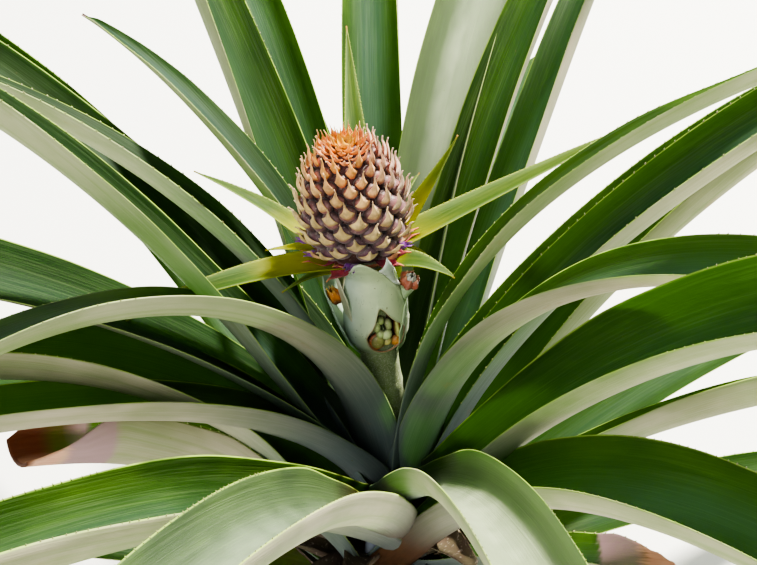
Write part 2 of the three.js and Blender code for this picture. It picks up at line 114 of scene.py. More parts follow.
# Per bract: azimuth, distance up the stalk, rise, droop, bend, sweep, roll, length, width, fold,
# then the share of its length where its yellow foot ends. The first group stands for CAD nodes.
BRACTS = {
    "left_long": (206, 171, 22, -32, 0.9, -18, 0, 186, 25, 100, 0.28),
    "left_upper": (157, 162, 30, 4, 1.2, -6, 0, 126, 21, 90, 0.4),
    "right_low": (-21, 168, 42, -22, 1.0, -6, 0, 56, 24, 90, 0.25),
    "right_upper": (37, 167, 32, 62, 0.6, -7, 0, 98, 20, 90, 0.55),
    "right_long": (24, 174, 15, 18, 1.0, -5, 0, 196, 23, 95, 0.14),
    "back_thin": (95, 169, 33, 26, 0.6, 0, 0, 170, 24, 95, -0.3),
    "back_left": (130, 160, 20, 0, 0.9, 0, 0, 62, 20, 95, 0.3),
    "low_back": (60, 95, 80, 60, 1.2, 0, 0, 80, 34, 130, -0.2),
}
SMALL_BRACTS = {
    "small_left": (171, 172, 24, -11, 0.7, 12, 0, 56, 15, 90, 0.9),
    "small_left_low": (179, 163, -1, -47, 0.7, -8, 0, 54, 12, 90, 0.3),
    "small_right": (25, 172, 12, -55, 1.3, -12, 0, 37, 13, 90, 0.9),
    "small_back": (100, 172, 20, -10, 1.0, 8, 0, 60, 15, 90, 0.5),
    "small_right_back": (65, 170, 25, 10, 1.0, -8, 0, 70, 16, 90, 0.4),
}

# The old stem's profile, and the stubs of old leaves round it.
STEM_HEIGHTS = (0, 8, 18, 45, 232, 268, 292)
STEM_RADII = (39, 35.5, 32, 27, 27, 22.8, 15)
OLD_BASES = 34
OLD_BASE_WIDTH = 58
STALK_FOOT = np.array([0, 0, 292.0])
STALK_LEAN = math.radians(6)
STALK_UP = np.array([-math.sin(STALK_LEAN), 0, math.cos(STALK_LEAN)])
STALK_ACROSS = np.array([math.cos(STALK_LEAN), 0, math.sin(STALK_LEAN)])
STALK_BACK = np.array([0, 1.0, 0])
STALK_RADIUS = 12.5
# The two directions that a ring lies along, on the stem and on the stalk.
LEVEL = (np.array([1.0, 0, 0]), np.array([0, 1.0, 0]))
TILTED = (STALK_ACROSS, STALK_BACK)

# The fruit's foot is this far up the stalk, and its middle this far to the right of the stalk's.
# Its crown begins at a share of its height.
FRUIT_BASE = 178.0
FRUIT_HEIGHT = 90.0
FRUIT_RADIUS = 32.0
FRUIT_SHIFT = -2.3
CROWN_FROM = 0.93
CROWN_SCALES = 46
SKIRT_SCALES = 17
GOLDEN_ANGLE = math.pi * (3 - math.sqrt(5))
# Colours of the eyes: shares of the fruit's height, then the colour at each.
FLESH = ((0, 0.15, 0.5, 0.85), (176, 104, 112), (140, 98, 112), (138, 92, 96), (196, 112, 90))
ROOT = ((0, 0.25, 0.8), (140, 50, 60), (110, 56, 46), (196, 90, 60))
SHIELD = ((0, 0.12, 0.22, 0.55, 0.78, 0.93), (220, 128, 96), (226, 166, 116), (230, 198, 136),
          (238, 204, 138), (242, 186, 118), (244, 168, 62))
SPIKE = ((0, 0.2, 0.7, 0.93), (240, 150, 90), (250, 230, 176), (252, 214, 176), (252, 210, 110))
# The pinkish white of the painted highlight on the fruit's sunny side.
PAINTED_HIGHLIGHT = (255, 226, 222)
# Colours of the crown's scales at foot, shield and tip, from its middle (0) to its edge (1).
CROWN = (((0, 0.4, 1), (226, 120, 30), (214, 96, 50), (206, 96, 80)),
         ((0, 0.3, 1), (230, 176, 26), (238, 150, 50), (248, 176, 126)),
         ((0, 0.4, 1), (244, 206, 50), (248, 190, 80), (255, 226, 190)))
SKIRT = ((120, 34, 60), (176, 50, 70), (230, 150, 90))
# Per flower: the angle round the fruit, the share of its height and the length.
FLOWERS = ((-158, 0.1, 15), (-168, 0.2, 12), (-98, 0.03, 13), (-20, 0.1, 15), (-112, 0.02, 12),
           (40, 0.14, 13), (120, 0.1, 14))
PETALS = ((224, 180, 200), (140, 54, 166), (160, 70, 190))

# The sheath is laid out flat at this many millimetres to the radian, about a line this far behind
# the stalk's middle. Its opening has a middle, a half width, a depth below it and a height above it.
FLAT = 20
SHEATH_BACK = 1.5
HOLE_X, HOLE_Y, HOLE_HALF, HOLE_LOW, HOLE_HIGH = 7.0, 118.0, 12.2, 15.5, 25.0
# The sheath's top edge: distances to the right of its middle line, and heights up the stalk.
EDGE_X = (-36, -27, -21, -15, -8.6, -4.4, -3, -1.2, 1.4, 6.5, 12.7, 20.9, 24.4, 28, 34)
EDGE_Y = (130, 142, 162, 174, 183, 194, 196, 195, 190, 177, 165, 153, 136, 124, 106)
SHEATH_TINTS = ((-34, -18, -4, 12, 30), (226, 238, 232), (228, 240, 230), (226, 236, 196),
                (220, 230, 184), (210, 222, 184))
# Per cup round the stalk: its ends in degrees, the height of its foot, its rim's height at five
# places, its radius at foot, middle and rim, its shift to the right, and its colour.
CUPS = {
    "sheath_left": ((-140, -38), 97, (146, 155, 157, 150, 128), (17, 25.5, 29.5), 0.0, (186, 206, 190)),
    "sheath_left_inner": ((-130, -40), 100, (150, 164, 168, 166, 150), (15.5, 19.0, 21.0), 0.0,
                          (222, 216, 190)),
    "sheath_right": ((42, 130), 97, (118, 134, 142, 140, 122), (17, 21.0, 22.5), 2.0, (186, 206, 160)),
    "sheath_back": ((120, 235), 97, (140, 158, 164, 156, 138), (15, 19.0, 22.0), 0.0, (190, 206, 170)),
}
# Per lobe of the bud in the opening: its place across, up and forward, its width, height and colour.
# The first lobe, large, dark and set far back, is painted shade at the back of the opening.
LOBES = ((0, 1, -7, 13.5, 23, (64, 44, 28)), (-6.2, -5.8, -0.8, 6.4, 7.2, (214, 128, 70)),
         (-6.0, -5.0, 0.4, 5.2, 5.8, (160, 160, 90)), (7.4, -10.0, -1.0, 4.6, 4.6, (230, 160, 60)),
         (9.4, -1.5, -2.6, 2.6, 9.5, (214, 140, 70)), (9.0, -1.2, -1.6, 1.9, 8.4, (206, 208, 120)),
         (-5.2, 7.6, -0.6, 2.9, 5.0, (178, 192, 128)), (2.8, 6.8, -0.4, 2.8, 5.0, (182, 196, 132)),
         (-1.8, 11.6, -1.4, 3.0, 3.4, (162, 178, 110)), (0.6, -0.4, 0.8, 4.0, 4.6, (200, 212, 152)),
         (-3.6, 1.2, 0.0, 3.0, 3.6, (176, 190, 128)), (-1.6, 6.6, 0.8, 0.9, 3.2, (52, 76, 34)),
         (0.6, -7.4, -0.4, 3.6, 3.4, (196, 186, 110)))
LOBE_DEPTH = 3.6
# Colours of the buds beside the stalk, at foot, shield and tip.
BUD = ((110, 50, 40), (190, 104, 80), (226, 170, 140))
HEART = ((170, 160, 140), (224, 222, 208), (240, 238, 230))
AMBER = ((120, 60, 30), (206, 130, 60), (236, 206, 110))


def linear(*rgb):
    """A colour for a shader."""
    shares = [c / 255 for c in rgb]
    return tuple(s / 12.92 if s < 0.0405 else ((s + 0.055) / 1.055) ** 2.4 for s in shares) + (1.0,)


def tinted(rgb):
    """A colour for the points of a mesh."""
    return np.array(linear(*rgb)[:3])


def between(value, at, stops):
    """The point or mesh colour at each value, between the stops that are given at `at`."""
    stops = np.asarray(stops)
    return np.stack([np.interp(value, at, stops[:, k]) for k in range(3)], -1)


def blend(value, at, *colours):
    return between(value, at, [tinted(c) for c in colours])


def unit(v):
    return v / (np.linalg.norm(v, axis=-1, keepdims=True) + 1e-12)


def on_stalk(along, across=0.0, back=0.0):
    """A point in the stalk's own frame."""
    return STALK_FOOT + along * STALK_UP + across * STALK_ACROSS + back * STALK_BACK


def from_stalk(angle):
    """The direction away from the stalk at an angle in radians."""
    return math.cos(angle) * STALK_ACROSS + math.sin(angle) * STALK_BACK


def round_stem(azimuth, radius, height=0.0):
    a = math.radians(azimuth)
    return np.array([radius * math.cos(a), radius * math.sin(a), height])


def smooth_noise(count, low, high, waves):
    """A gentle seeded wander of `count` values between low and high."""
    knots = random.uniform(low, high, waves + 3)
    place = np.linspace(0, waves, count)
    k = place.astype(int).clip(0, waves - 1)
    f = place - k
    f = f * f * (3 - 2 * f)
    return knots[k] * (1 - f) + knots[k + 1] * f


class Body:
    """Collects points and faces, with values kept on each point, into one mesh."""

    def __init__(self):
        self.points = []
        self.faces = []
        self.slots = []
        self.uvs = []
        self.values = {}
        self.count = 0

    def add(self, points, faces, slot=0, uv=None, **values):
        points = np.asarray(points, float).reshape(-1, 3)
        faces = np.asarray(faces, int)
        self.points.append(points)
        self.faces.append(faces + self.count)
        self.slots.append(np.broadcast_to(slot, len(faces)))
        self.uvs.append(np.zeros((len(points), 2)) if uv is None else uv)
        for key, value in values.items():
            value = np.asarray(value, float)
            if value.ndim < 2:
                value = np.tile(value, (len(points), 1))
            self.values.setdefault(key, []).append(value)
        self.count += len(points)

    def build(self, name, material, replaces=()):
        """Makes the piece, of one material or of several in the order of their slots."""
        points = np.concatenate(self.points) * MM
        mesh = bpy.data.meshes.new(name)
        flat = [f[f >= 0] for faces in self.faces for f in faces]
        sizes = np.array([len(f) for f in flat])
        corners = np.concatenate(flat)
        mesh.vertices.add(len(points))
        mesh.vertices.foreach_set("co", points.ravel())
        mesh.loops.add(len(corners))
        mesh.loops.foreach_set("vertex_index", corners)
        mesh.polygons.add(len(flat))
        mesh.polygons.foreach_set("loop_start", np.concatenate([[0], np.cumsum(sizes)[:-1]]))
        mesh.polygons.foreach_set("material_index", np.concatenate(self.slots).astype(int))
        mesh.update(calc_edges=True)
        uv = mesh.uv_layers.new(name="OFBake")
        uv.data.foreach_set("uv", np.concatenate(self.uvs)[corners].ravel())
        for key, rows in self.values.items():
            attribute = mesh.attributes.new(key, "FLOAT_VECTOR", "POINT")
            attribute.data.foreach_set("vector", np.concatenate(rows).ravel())
        mesh.shade_smooth()
        for one in material if isinstance(material, tuple) else (material,):
            mesh.materials.append(one)
        piece = bpy.data.objects.new(name, mesh)
        bpy.context.scene.collection.objects.link(piece)
        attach(piece, "root")
        if replaces:
            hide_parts(*replaces)


class Nodes:
    """Short calls for a material's node tree. `body` is the base colour so far."""

    def __init__(self, name):
        self.material = bpy.data.materials.new(name)
        self.material.use_nodes = True
        self.tree = self.material.node_tree
        self.tree.nodes.clear()
        self.body = None

    def set(self, socket, value):
        """Links a socket to an output, or gives it a number, a vector or a colour."""
        if hasattr(value, "is_output"):
            self.tree.links.new(value, socket)
        elif value is not None:
            socket.default_value = linear(*value) if socket.type == "RGBA" else value

    def node(self, kind, *inputs, **options):
        """A node with its first inputs set, passing over those given as None."""
        node = self.tree.nodes.new(kind)
        for key, value in options.items():
            setattr(node, key, value)
        for socket, value in zip(node.inputs, inputs):
            self.set(socket, value)
        return node

    def attribute(self, name):
        return self.node("ShaderNodeAttribute", attribute_name=name).outputs["Vector"]

    def coordinates(self):
        return self.node("ShaderNodeTexCoord").outputs["Object"]

    def split(self, vector):
        return self.node("ShaderNodeSeparateXYZ", vector).outputs

    def math(self, operation, *values):
        return self.node("ShaderNodeMath", *values, operation=operation).outputs[0]

    def times(self, first, *others):
        for other in others:
            first = self.math("MULTIPLY", first, other)
        return first

    def ramp(self, value, low, high, none=0.0, full=1.0):
        """Eases from `none` where value is low to `full` where it is high."""
        return self.node("ShaderNodeMapRange", value, low, high, none, full,
                         interpolation_type="SMOOTHSTEP").outputs[0]

    def noise(self, vector, scale, detail=3.0, roughness=0.55):
        """Noise at one scale, or at one for each axis."""
        if isinstance(scale, tuple):
            vector = self.node("ShaderNodeVectorMath", vector, scale, operation="MULTIPLY").outputs[0]
            scale = 1.0
        return self.node("ShaderNodeTexNoise", vector, None, scale, detail, roughness).outputs["Fac"]

    def mix(self, share, a, b):
        skipped = [None] * 5
        return self.node("ShaderNodeMix", share, *skipped, a, b, data_type="RGBA").outputs[2]

    def coat(self, colour, value, low, high, none=0.0, full=1.0):
        """Lays a colour over the body, as much of it as the ramp says."""
        self.body = self.mix(self.ramp(value, low, high, none, full), self.body, colour)

    def bump(self, height, distance, strength=1.0):
        return self.node("ShaderNodeBump", strength, distance, None, height).outputs[0]

    def finish(self, roughness, normal=None, through=None, share=0.0, **sockets):
        """The surface, with a share of light through it where `through` is a colour."""
        surface = self.node("ShaderNodeBsdfPrincipled")
        for key, value in (("Base Color", self.body), ("Roughness", roughness), ("Normal", normal)):
            self.set(surface.inputs[key], value)
        for key, value in sockets.items():
            self.set(surface.inputs[key.replace("_", " ")], value)
        shader = surface.outputs[0]
        if through is not None:
            glow = self.node("ShaderNodeBsdfTranslucent", through, normal)
            shader = self.node("ShaderNodeMixShader", share, shader, glow.outputs[0]).outputs[0]
        self.node("ShaderNodeOutputMaterial", shader)
        return self.material


def leaf_material(name, upper):
    """One side of a leaf. `place` holds millimetres across and along the blade and a seed, `span`
    holds the shares across (-1 to 1) and along, and the tone, and `look` the bloom with its painted
    glare, the decay, and the scorch with the painted shade at the feet."""
    n = Nodes(name)
    place = n.attribute("place")
    across, along, tone = n.split(n.attribute("span"))
    bloom_and_glare, decay, scorch_and_shade = n.split(n.attribute("look"))
    edge = n.math("ABSOLUTE", across)
    streaks = n.noise(place, (1.3, 0.012, 1.0), 4.0, 0.65)
    lines = n.noise(place, (0.28, 0.004, 1.0), 2.0)
    clouds = n.noise(place, (0.03, 0.012, 1.0))
    patches = n.noise(place, (0.0, 0.03, 1.0), 2.0)
    specks = n.noise(place, (0.35, 0.25, 3.0), 2.0)
    grain = n.noise(place, (0.5, 0.06, 1.0), 4.0)
    cloudy = n.ramp(clouds, 0.35, 0.65)
    shine = n.ramp(bloom_and_glare, 0.25, 0.85)
    if upper:
        dusky = n.mix(cloudy, (10, 28, 16), (30, 52, 30))
        fresh = n.mix(cloudy, (20, 42, 8), (62, 88, 18))
        fresh = n.mix(n.ramp(tone, 0.0, 0.5), dusky, fresh)
        n.body = n.mix(tone, (10, 26, 8), (36, 60, 10))
        n.coat(fresh, lines, 0.3, 0.75, 0.05, 0.6)
        n.coat(fresh, edge, 0.5, 0.95, 0.0, 0.6)
        n.coat((22, 44, 40), edge, 0.5, 0.1, 0.0, 0.35)
        # The waxy bloom: bluish in the channel, partly the wax's own tint and partly a painted reflection
        # of the sky.
        # On the palest leaves the bloom is painted white, a painted highlight for the sun's glare; it is
        # weaker on one half of the blade and left off the foot, where its absence paints the shadow of the
        # leaves above.
        wax_and_glare = n.mix(clouds, (26, 48, 50), (62, 84, 82))
        painted_glare = n.mix(clouds, (138, 150, 122), (190, 196, 166))
        wax_and_glare = n.mix(n.ramp(bloom_and_glare, 0.7, 1.0), wax_and_glare, painted_glare)
        wax_and_glare_mask = n.times(n.ramp(edge, 0.85, 0.05), n.ramp(clouds, 0.25, 0.75, 0.4, 1.0))
        painted_highlight = n.times(n.ramp(bloom_and_glare, 0.75, 1.0, 0.0, 0.85), n.ramp(across, 0.4, -0.1, 0.3, 1.0),
                        n.ramp(along, 0.16, 0.23))
        wax_and_glare_mask = n.times(n.math("MAXIMUM", wax_and_glare_mask, painted_highlight), n.ramp(bloom_and_glare, 0.0, 0.6))
        n.body = n.mix(wax_and_glare_mask, n.body, wax_and_glare)
        n.coat((112, 130, 112), along, 0.14, 0.0, 0.0, 0.55)
        pale = (150, 170, 120)
        rough = n.math("MULTIPLY_ADD", shine, -0.26, n.ramp(clouds, 0.2, 0.8, 0.58, 0.7))
    else:
        silver = n.mix(cloudy, (146, 146, 112), (186, 176, 150))
        n.body = (134, 150, 116)
        n.coat(silver, n.math("MULTIPLY_ADD", tone, 0.3, along), 0.15, 0.5)
        n.coat((122, 138, 84), lines, 0.45, 0.72, 0.0, 0.45)
        # Blue-grey towards the foot: painted shade, over the underside's own bluer tint there.
        n.coat(n.mix(clouds, (62, 80, 92), (112, 122, 124)), along, 0.36, 0.06, 0.0, 0.9)
        stain = n.noise(place, (0.035, 0.02, 2.0), 5.0, 0.7)
        n.coat((158, 122, 98), stain, 0.62, 0.74, 0.0, 0.5)
        pale = (216, 214, 196)
        rough = n.ramp(clouds, 0.2, 0.8, 0.5, 0.62)
    n.coat(pale, streaks, 0.42, 0.72, 0.0, 0.12)
    # The yellow-green rim and brown specks.
    rim = n.times(n.ramp(edge, 0.972, 0.99), n.ramp(patches, 0.35, 0.6, 0.25, 0.8),
                  n.ramp(along, 0.02, 0.2, 0.2, 1.0))
    n.body = n.mix(rim, n.body, (164, 190, 84))
    n.coat((104, 82, 52), specks, 0.74, 0.8, 0.0, 0.6)
    # Dying tissue: a mauve border, then straw, then burnt.
    blush = n.times(n.ramp(decay, 0.0, 0.06), n.ramp(decay, 0.62, 0.5, 0.0, 0.75))
    n.body = n.mix(blush, n.body, (164, 122, 138))
    dead = n.mix(grain, (196, 140, 110), (230, 190, 160))
    n.coat(dead, n.math("MULTIPLY_ADD", grain, 0.3, decay), 0.6, 0.8)
    # Dark brown: burnt tissue on torn leaves, and painted shade over the feet of the leaves in the plant's
    # shaded middle.
    n.body = n.mix(scorch_and_shade, n.body, n.mix(grain, (30, 20, 14), (104, 66, 44)))
    ridges = n.math("MULTIPLY_ADD", streaks, 0.6, n.times(lines, 0.8))
    gloss = n.math("MULTIPLY_ADD", shine, 0.3, 0.14)
    through = n.mix(n.ramp(decay, 0.4, 0.7), (150, 200, 20), (190, 120, 70))
    return n.finish(rough, n.bump(ridges, 0.0011, 0.4), through, 0.26 if upper else 0.24,
                    Specular_IOR_Level=gloss)


def tooth_material():
    """The spines: pale and horny, browner in places."""
    n = Nodes("leaf_teeth")
    coordinates = n.coordinates()
    grain = n.noise(coordinates, 900.0)
    n.body = (140, 160, 84)
    n.coat((160, 158, 104), n.noise(coordinates, 40.0, 2.0), 0.35, 0.65)
    n.coat((150, 110, 70), grain, 0.55, 0.75, 0.0, 0.5)
    return n.finish(n.ramp(grain, 0.3, 0.7, 0.4, 0.6), n.bump(grain, 0.0002, 0.4))


def bract_material():
    """`span` holds the shares across and along a bract and its tone: where along it the yellow of
    its foot turns to a green middle with silvery margins."""
    n = Nodes("bract_skin")
    place = n.attribute("place")
    across, along, tone = n.split(n.attribute("span"))
    edge = n.math("ABSOLUTE", across)
    streaks = n.noise(place, (1.6, 0.03, 1.0), 3.0, 0.6)
    clouds = n.noise(place, (0.06, 0.03, 1.0))
    green = n.mix(clouds, (28, 54, 14), (52, 78, 26))
    silver = n.mix(clouds, (66, 92, 52), (104, 126, 78))
    blade_tint = n.mix(n.ramp(n.math("MULTIPLY_ADD", streaks, 0.4, edge), 0.5, 1.1), green, silver)
    turn = n.math("MULTIPLY_ADD", clouds, 0.2, n.math("SUBTRACT", along, tone))
    n.body = n.mix(clouds, (134, 118, 0), (132, 142, 8))
    n.coat(blade_tint, turn, 0.02, 0.26)
    n.coat((136, 146, 60), streaks, 0.4, 0.7, 0.0, 0.2)
    n.coat((158, 166, 84), edge, 0.8, 0.98, 0.0, 0.5)
    n.coat((190, 130, 80), along, 0.95, 1.0)
    return n.finish(n.ramp(clouds, 0.2, 0.8, 0.5, 0.65), n.bump(streaks, 0.0006, 0.4),
                    (214, 226, 4), 0.36, Specular_IOR_Level=0.16)


def tint_material(name, roughness, size, height, sheen=0.0, share=0.0, through=None):
    """Takes its base colour from the `tint` values, broken up by noise of a size that also gives a
    bump of a height."""
    n = Nodes(name)
    coordinates = n.coordinates()
    tint = n.attribute("tint")
    grain = n.noise(coordinates, size, 4.0, 0.6)
    n.body = n.mix(0.45, tint, (70, 44, 40))
    n.coat(tint, n.noise(coordinates, size * 0.22), 0.35, 0.62)
    n.coat((235, 220, 200), grain, 0.55, 0.75, 0.0, 0.3)
    return n.finish(roughness, n.bump(grain, height, 0.5), through, share, Sheen_Weight=sheen)


def wood_material():
    """The old stem: brown rings of leaf scars with pale corky dust."""
    n = Nodes("stem_skin")
    coordinates = n.coordinates()
    rings = n.noise(coordinates, (30.0, 30.0, 160.0), 4.0)
    fibres = n.noise(coordinates, (420.0, 420.0, 30.0))
    n.body = (92, 74, 50)
    n.coat((150, 132, 96), rings, 0.35, 0.65)
    n.coat((178, 166, 132), fibres, 0.45, 0.7, 0.0, 0.5)
    return n.finish(0.85, n.bump(n.math("ADD", rings, fibres), 0.002, 0.6))


def stalk_material():
    """Pale green with a grey scurf, browner where the old bracts have come away."""
    n = Nodes("stalk_skin")
    coordinates = n.coordinates()
    scurf = n.noise(coordinates, 900.0, 3.0, 0.7)
    fibres = n.noise(coordinates, (700.0, 700.0, 60.0))
    n.body = (128, 142, 96)
    n.coat((158, 172, 128), n.noise(coordinates, 60.0), 0.3, 0.7)
    n.coat((196, 198, 172), scurf, 0.5, 0.62, 0.0, 0.75)
    n.coat((104, 108, 76), fibres, 0.6, 0.75, 0.0, 0.5)
    return n.finish(0.75, n.bump(n.math("ADD", scurf, fibres), 0.0006, 0.6))


def sheath_material():
    """Smooth, waxy and pale blue-green, with fine scratches and small brown marks."""
    n = Nodes("sheath_skin")
    coordinates = n.coordinates()
    clouds = n.noise(coordinates, 45.0)
    n.body = n.attribute("tint")
    n.coat((150, 176, 140), clouds, 0.3, 0.7, 0.0, 0.35)
    n.coat((120, 138, 112), n.noise(coordinates, (500.0, 500.0, 90.0), 2.0), 0.62, 0.72, 0.0, 0.3)
    n.coat((104, 84, 58), n.noise(coordinates, 380.0, 1.0), 0.72, 0.76, 0.0, 0.7)
    return n.finish(0.42, n.bump(clouds, 0.0005, 0.3), (190, 215, 120), 0.12)


def leaf_width(t):
    """A leaf's width at the shares t of its length, as a share of its full width."""
    base = np.where(t < 0.1, 1.12 - 0.22 * (np.clip(t, 0, 1) / 0.1) ** 0.8,
                    0.9 + 0.1 * np.clip((t - 0.1) / 0.25, 0, 1))
    return base * (1 - np.clip((t - 0.35) / 0.65, 0, 1) ** 2)


def bract_width(t):
    return 1 - np.clip((t - 0.15) / 0.85, 0, 1) ** 1.3


def shell(grid, under, sides=True):
    """The faces of a thin shell between two grids of point numbers: both skins, the ends at the first
    and last row and, where it has them, the sides at the first and last column."""
    quads = [np.stack([grid[:-1, :-1], grid[:-1, 1:], grid[1:, 1:], grid[1:, :-1]], -1).reshape(-1, 4),
             np.stack([under[:-1, :-1], under[1:, :-1], under[1:, 1:], under[:-1, 1:]], -1).reshape(-1, 4),
             np.stack([grid[0, :-1], under[0, :-1], under[0, 1:], grid[0, 1:]], -1),
             np.stack([grid[-1, :-1], grid[-1, 1:], under[-1, 1:], under[-1, :-1]], -1)]
    if sides:
        quads += [np.stack([grid[:-1, 0], grid[1:, 0], under[1:, 0], under[:-1, 0]], -1),
                  np.stack([grid[:-1, -1], under[:-1, -1], under[1:, -1], grid[1:, -1]], -1)]
    return np.concatenate(quads)


def blade_path(start, azimuth, rise, droop, bend, sweep, rolls, length, t):
    """A blade's middle line at the shares t of its length: its points, and the directions across the
    blade and out of its hollow."""

    def aim(s):
        head = np.radians(azimuth + sweep * s)
        slope = np.radians(rise + (droop - rise) * s ** bend)
        along = np.stack([np.cos(slope) * np.cos(head), np.cos(slope) * np.sin(head), np.sin(slope)], -1)
        return along, np.stack([-np.sin(head), np.cos(head), 0 * head], -1)

    fine = np.linspace(0, 1, PATH_STEPS + 1)
    along = aim(fine)[0]
    step = 0.5 * (along[1:] + along[:-1]) * length / PATH_STEPS
    centre = between(t, fine, np.concatenate([[start], start + np.cumsum(step, 0)]))
    along, side = aim(t)
    inner = np.cross(along, side)
    roll = np.radians(rolls[0] + (rolls[1] - rolls[0]) * t)[:, None]
    return centre, side * np.cos(roll) + inner * np.sin(roll), inner * np.cos(roll) - side * np.sin(roll)


def blade(body, path, length, width, fold, thick, t, u, waves, tone, slots=(0, 0), look=None, tint=None):
    """Adds a channelled blade. u holds its columns' places and slots its upper and under material;
    look gives the bloom with its painted glare, the decay, and the scorch with the painted shade at
    the feet, at shares across and along. Returns the upper skin's points."""
    centre, side, inner = path
    u = np.broadcast_to(u, (len(t), np.shape(u)[-1]))
    rows, columns = u.shape
    fold = math.radians(fold)
    angle = u * fold / 2
    radius = (width / fold)[:, None]
    across = np.where(u > 0, u / np.maximum(u[:, -1:], 1.0), u)
    half = 0.5 * thick[:, None] * (1 - 0.8 * across ** 2) + MARGIN_THICK / 2
    ripple = waves * np.abs(across) ** 3

    def skin(shift):
        reach = radius + shift
        return (centre[:, None] + (reach * np.sin(angle))[..., None] * side[:, None]
                + (radius - reach * np.cos(angle) + ripple)[..., None] * inner[:, None])

    # The skins share the points of the margins, so that the faces there have three corners.
    upper = skin(-half)
    under = skin(half)
    upper[:, [0, -1]] = 0.5 * (upper[:, [0, -1]] + under[:, [0, -1]])
    grid = np.arange(rows * columns).reshape(rows, columns)
    below = grid + grid.size
    below[:, [0, -1]] = grid[:, [0, -1]]
    faces = shell(grid, below, False)
    used = np.unique(faces)
    faces = np.searchsorted(used, faces)
    faces[faces == np.roll(faces, 1, axis=1)] = BLANK
    kinds = np.where(np.arange(len(faces)) < (rows - 1) * (columns - 1), *slots)

    share = np.tile(t[:, None], (1, columns))
    uv = np.stack([0.02 + 0.46 * (across + 1) / 2, 0.01 + 0.98 * share], -1).reshape(-1, 2)
    seed = random.uniform(0, 900)
    values = {"place": np.stack([across * width[:, None] / 2, share * length, 0 * share + seed], -1),
              "span": np.stack([across, share, 0 * share + tone], -1)}
    if look:
        values["look"] = look(across, share)
    values = {key: np.tile(value.reshape(-1, 3), (2, 1))[used] for key, value in values.items()}
    if tint is not None:
        values["tint"] = tint
    points = np.concatenate([upper.reshape(-1, 3), under.reshape(-1, 3)])[used]
    body.add(points, faces, kinds, np.concatenate([uv, uv + [0.5, 0]])[used], **values)
    return upper


def teeth(body, upper, t, length, size, slot, spacing, first, last=0.965, **values):
    """Adds small forward-curved spines along both margins of a blade."""
    for column, sign in ((0, -1), (-1, 1)):
        margin = upper[:, column]
        place = first
        while place < last:
            row = min(int(np.interp(place, t, np.arange(len(t)))), len(t) - 2)
            forward = unit(margin[row + 1] - margin[row])
            outward = unit(margin[row] - upper[row, column - sign])
            outward = unit(outward - forward * np.dot(outward, forward))
            tall = size * random.uniform(0.7, 1.25)
            ahead = forward * tall
            thin = np.cross(forward, outward) * (0.12 + 0.1 * tall)
            foot = between(place, t, margin) - outward * 0.5
            low = foot - ahead * 0.7
            high = foot + ahead * 0.7
            knee = foot + outward * (0.55 * tall + 0.5) + ahead * 0.45
            back = knee - ahead * 0.3
            front = knee + ahead * 0.3
            tip = foot + outward * (tall + 0.5) + ahead * 1.15
            points = [low - thin, low + thin, high + thin, high - thin, back - thin * 0.6,
                      back + thin * 0.6, front + thin * 0.6, front - thin * 0.6, tip]
            body.add(points, TOOTH_FACES, slot, place=[sign * 30.0, place * length, 5.0],
                     span=[sign * 1.0, place, 0.5], **values)
            place += spacing * random.uniform(0.75, 1.3) / length


